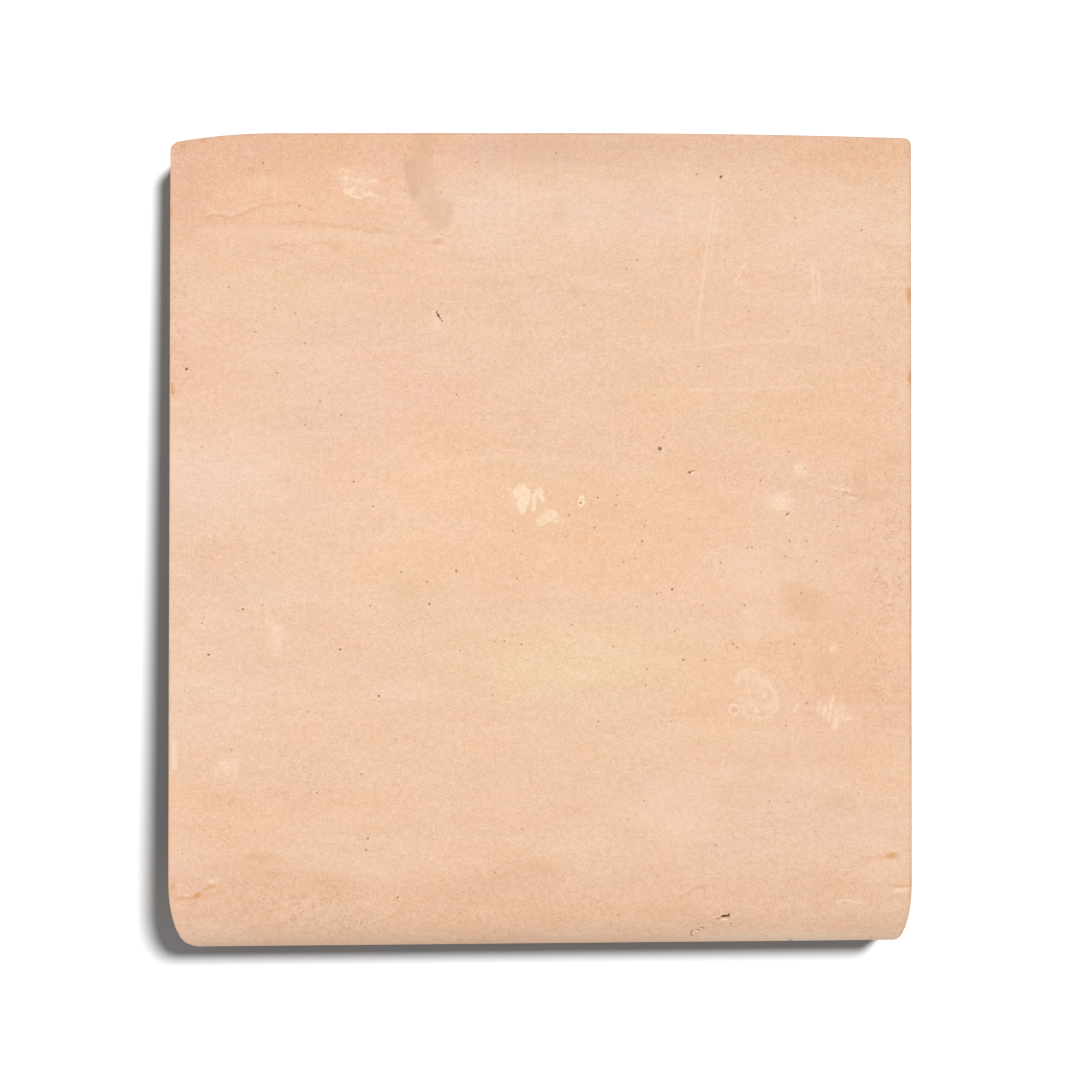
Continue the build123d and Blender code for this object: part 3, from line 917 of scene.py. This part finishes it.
def plain_clay(g, where, grain, blotch):
    """Clay with its unevenness, from broad clouds down to single grains."""
    streaked = g.vector("MULTIPLY", where, STREAKED)
    broad = g.noise(where, size=70, detail=3, rough=0.55, bend=0.4)
    cloudy = g.noise(streaked, size=9, detail=3, rough=0.6, bend=0.3)
    tint = g.noise(g.vector("ADD", streaked, TINT_SHIFT), size=22, detail=4, rough=0.6, bend=0.5)
    hue = g.noise(g.vector("ADD", where, HUE_SHIFT), size=2.6, detail=2, rough=0.6)
    blush = g.noise(g.vector("ADD", streaked, BLUSH_SHIFT), size=16, detail=4, rough=0.65, bend=0.5)
    freckle = g.noise(where, size=3.2)
    fine = g.scatter(grain, GRAIN_LEVELS, g.scatter(blotch, BLOTCH_LEVELS))
    middle = g.scatter(cloudy, CLOUD_LEVELS, g.layer("light"))
    warm = g.scatter(hue, HUE_LEVELS, g.scatter(tint, TINT_LEVELS, g.layer("warm")))
    pink = g.scatter(blush, BLUSH_LEVELS, g.scatter(freckle, FRECKLE_LEVELS, g.layer("pink")))
    wide = g.scatter(broad, BROAD_LEVELS)
    tones = (GRAIN_TONE, CLOUD_TONE, BROAD_TONE, WARM_TONE, PINK_TONE)
    colour = albedo(*CLAY)[:3]
    for tone, levels in zip(tones, (fine, middle, wide, warm, pink)):
        colour = g.vector("ADD", colour, g.scaled(tone, levels))
    return colour


def bare_clay(g, colour, where, drag, sandy):
    """The cut walls show dragged clay, and the underside sand and soil."""
    cut = g.mix(g.between(drag, 0.35, 0.65), albedo(*CUT_DARK), albedo(*CUT_PALE))
    colour = g.mix(g.times(g.layer("wall"), 0.6), colour, cut)
    soil = g.noise(where, size=26, detail=6, rough=0.7)
    bed = g.mix(g.between(soil, 0.3, 0.7), albedo(*BED_DARK), albedo(*BED_PALE))
    bed = g.vector("ADD", bed, g.scaled(GRAIN_TONE, g.scatter(sandy, SAND_LEVELS)))
    return g.mix(g.layer("below"), colour, bed)


def washed_and_highlit(g, colour, ragged):
    """Thin limewash veils, traces of smoke and stains, and pale painted highlights beside some drawn
    lines.
    """
    lacy = g.between(ragged, 0.36, 0.58, 0.5, 1.0)
    patchy = g.between(ragged, 0.3, 0.62, 0.7, 1.0)
    colour = g.over(colour, g.times(g.layer("veil_and_highlight"), lacy), VEIL_AND_HIGHLIGHT)
    colour = g.over(colour, g.times(g.layer("smoke"), patchy), SMOKE)
    return g.over(colour, g.times(g.layer("stain"), patchy), STAIN)


def shaded_creases(g, colour, where):
    """Short wavy creases in painted shade, with a painted highlight along one side, torn into pieces.
    Gives their strength as well.
    """
    wrinkle = g.noise(where, size=2.7, detail=1.6, rough=0.55, bend=1.1)
    torn = g.noise(g.vector("ADD", where, TORN_SHIFT), size=4.6, detail=2, rough=0.6)
    amount = g.math("MULTIPLY_ADD", g.layer("crease_shade_and_highlight"), 0.72, 0.1)
    creases = g.times(g.line(wrinkle, 0.5, 0.045), g.between(torn, 0.42, 0.55))
    creases = g.times(creases, amount)
    colour = g.over(colour, creases, CREASE_SHADE)
    pale = g.times(g.line(wrinkle, 0.54, 0.03), g.between(torn, 0.44, 0.56))
    pale = g.times(g.times(pale, g.layer("crease_shade_and_highlight")), 0.35)
    return g.over(colour, pale, CREASE_HIGHLIGHT), creases


def limed_and_highlit(g, colour, where, ragged, blotch):
    """Lime spots with ragged borders and fine veins, some of them painted highlights. Ochre spots go on
    top, and a line of them down the right arris is painted shade.
    """
    borders = g.math("MULTIPLY_ADD", ragged, 2.2, g.math("MULTIPLY_ADD", g.layer("lime_and_highlight"), 1.25, -1.1))
    lime_and_highlight = g.times(g.between(borders, 0.15, 0.8), g.between(g.layer("lime_and_highlight"), 0.02, 0.5, 0.0, 0.95))
    veins = g.line(g.noise(where, size=1.3, detail=1, rough=0.5, bend=0.8), 0.5, 0.05, strength=0.4)
    lime_and_highlight = g.times(lime_and_highlight, g.math("SUBTRACT", 1.0, veins))
    crust_and_highlight = g.mix(g.between(blotch, 0.42, 0.58), albedo(*LIME_AND_HIGHLIGHT_THIN), albedo(*LIME_AND_HIGHLIGHT_THICK))
    colour = g.mix(lime_and_highlight, colour, crust_and_highlight)
    ochre_and_edge_shade = g.times(g.layer("ochre_and_edge_shade"), g.between(ragged, 0.3, 0.6, 0.6, 1.0))
    return g.over(colour, ochre_and_edge_shade, OCHRE_AND_EDGE_SHADE)


def speckled_and_shaded(g, colour, where):
    """Pinholes in painted shade, dark and pale grains, and the painted shade of the pits and cuts. Gives
    the pinholes as well.
    """
    gap, pick, shade = g.cells(where, density=0.28)
    size = g.between(pick, 0.1, 1.0, 0.0, 0.15)
    holes = g.between(g.math("SUBTRACT", gap, size), -0.06, 0.0, 1.0, 0.0)
    holes = g.times(holes, g.math("MULTIPLY_ADD", g.math("POWER", shade, 4.0), 0.6, 0.18))
    colour = g.over(colour, holes, PINHOLE_SHADE)

    gap, pick, _ = g.cells(g.vector("ADD", where, PEPPER_SHIFT), density=0.5)
    dots = g.times(g.between(gap, 0.09, 0.16, 1.0, 0.0), g.times(g.math("POWER", pick, 3.0), 0.42))
    colour = g.over(colour, dots, PEPPER)

    gap, pick, shade = g.cells(g.vector("ADD", where, CHALK_SHIFT), density=0.2)
    grit = g.between(g.math("SUBTRACT", gap, g.times(pick, 0.09)), -0.05, 0.0, 1.0, 0.0)
    colour = g.over(colour, g.times(grit, g.times(shade, 0.5)), CHALK)
    return g.over(colour, g.layer("pit"), PIT_SHADE), holes


def terracotta():
    """Matt fired clay. All its patterns are read in the level frame of the tile, in millimetres."""
    material = bpy.data.materials.new("terracotta")
    g = Graph(material)
    where = g.node("ShaderNodeAttribute", attribute_name="level").outputs["Vector"]
    blotch = g.noise(where, size=2.4, detail=2, rough=0.6)
    grain = g.noise(where, size=0.88, detail=2, rough=0.7)
    ragged = g.noise(where, size=0.95, detail=3, rough=0.65)
    sandy = g.noise(where, size=1.7, detail=3, rough=0.75)
    drag = g.noise(g.vector("MULTIPLY", where, DRAGGED), size=1.6, detail=4, rough=0.7)

    colour = plain_clay(g, where, grain, blotch)
    colour = bare_clay(g, colour, where, drag, sandy)
    colour = washed_and_highlit(g, colour, ragged)
    colour, creases = shaded_creases(g, colour, where)
    colour = limed_and_highlit(g, colour, where, ragged, blotch)
    colour, holes = speckled_and_shaded(g, colour, where)

    dragged_wall = g.times(g.layer("wall"), drag)
    sandy_below = g.times(g.layer("below"), sandy)
    rises = ((grain, 0.35), (holes, -0.8), (creases, -0.7), (dragged_wall, 2.2), (sandy_below, 4.5))
    height = g.times(blotch, 0.65)
    for pattern, rise in rises:
        height = g.math("MULTIPLY_ADD", pattern, rise, height)
    bump = g.node("ShaderNodeBump", {"Strength": 0.35, "Distance": BUMP_DISTANCE, "Height": height})
    matt = {"Base Color": colour, "Roughness": 0.88, "Specular IOR Level": 0.3}
    surface = g.node("ShaderNodeBsdfPrincipled", {**matt, "Normal": bump.outputs[0]})
    g.node("ShaderNodeOutputMaterial", {"Surface": surface.outputs[0]})
    return material


tile.data.materials.append(terracotta())
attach(tile, "root")
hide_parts("coping_tile")


# Floor, light and camera

FLOOR_REACH = 3.0
PAPER_SEEN = (0.235, 0.235, 0.235, 1)
PAPER_UNDER_TILE = (0.085, 0.075, 0.062, 1)
WORLD_SEEN, WORLD_ON_TILE = 1.0, 0.8
SENSOR = 36.0

floor_corners = [(x * FLOOR_REACH, y * FLOOR_REACH, 0) for x, y in ((-1, -1), (1, -1), (1, 1), (-1, 1))]
floor_mesh = bpy.data.meshes.new("floor")
floor_mesh.from_pydata(floor_corners, [], [(0, 1, 2, 3)])
floor = bpy.data.objects.new("floor", floor_mesh)
bpy.context.scene.collection.objects.link(floor)


def ray_is_seen(g):
    """1 for what the camera sees, straight or in a reflection, 0 for light on its way to the tile."""
    path = g.node("ShaderNodeLightPath")
    seen = g.math("MAXIMUM", path.outputs["Is Camera Ray"], path.outputs["Is Glossy Ray"])
    return g.math("MAXIMUM", seen, path.outputs["Is Transmission Ray"])


paper = bpy.data.materials.new("paper")
g = Graph(paper)
sheet = g.node("ShaderNodeBsdfDiffuse", {"Color": g.mix(ray_is_seen(g), PAPER_UNDER_TILE, PAPER_SEEN)})
g.node("ShaderNodeOutputMaterial", {"Surface": sheet.outputs[0]})
floor_mesh.materials.append(paper)


def lamp(name, towards, strength, angle, lit):
    """A distant soft lamp that shines on one thing only."""
    data = bpy.data.lights.new(name, "SUN")
    data.energy = strength
    data.angle = radians(angle)
    made = bpy.data.objects.new(name, data)
    made.rotation_mode = "QUATERNION"
    made.rotation_quaternion = Vector(towards).to_track_quat("Z", "Y")
    bpy.context.scene.collection.objects.link(made)
    group = bpy.data.collections.new(name + "_lit")
    group.objects.link(lit)
    made.light_linking.receiver_collection = group


lamp("window", towards=(-0.25, 0.28, 1.0), strength=0.68, angle=25, lit=tile)
lamp("shadow_caster", towards=(0.43, 0.50, 1.0), strength=15.5, angle=12, lit=floor)

world = bpy.data.worlds.new("studio")
bpy.context.scene.world = world
g = Graph(world)
brightness = g.math("MULTIPLY_ADD", ray_is_seen(g), WORLD_SEEN - WORLD_ON_TILE, WORLD_ON_TILE)
sky = g.node("ShaderNodeBackground", {"Color": (1, 1, 1, 1), "Strength": brightness})
g.node("ShaderNodeOutputWorld", {"Surface": sky.outputs[0]})

camera_data = bpy.data.cameras.new("camera")
camera_data.sensor_width = SENSOR
camera_data.lens = SENSOR * LENS_HEIGHT / (PHOTO_PIXELS * PIXEL)
camera = bpy.data.objects.new("camera", camera_data)
bpy.context.scene.collection.objects.link(camera)
eye = (turn @ np.array((0.0, LENS_ALONG, LENS_HEIGHT)) + shift) * MM
camera.matrix_world = Matrix.Translation(Vector(eye)) @ Matrix(turn.tolist()).to_4x4()
bpy.context.scene.camera = camera
bpy.context.scene.view_settings.view_transform = "Standard"
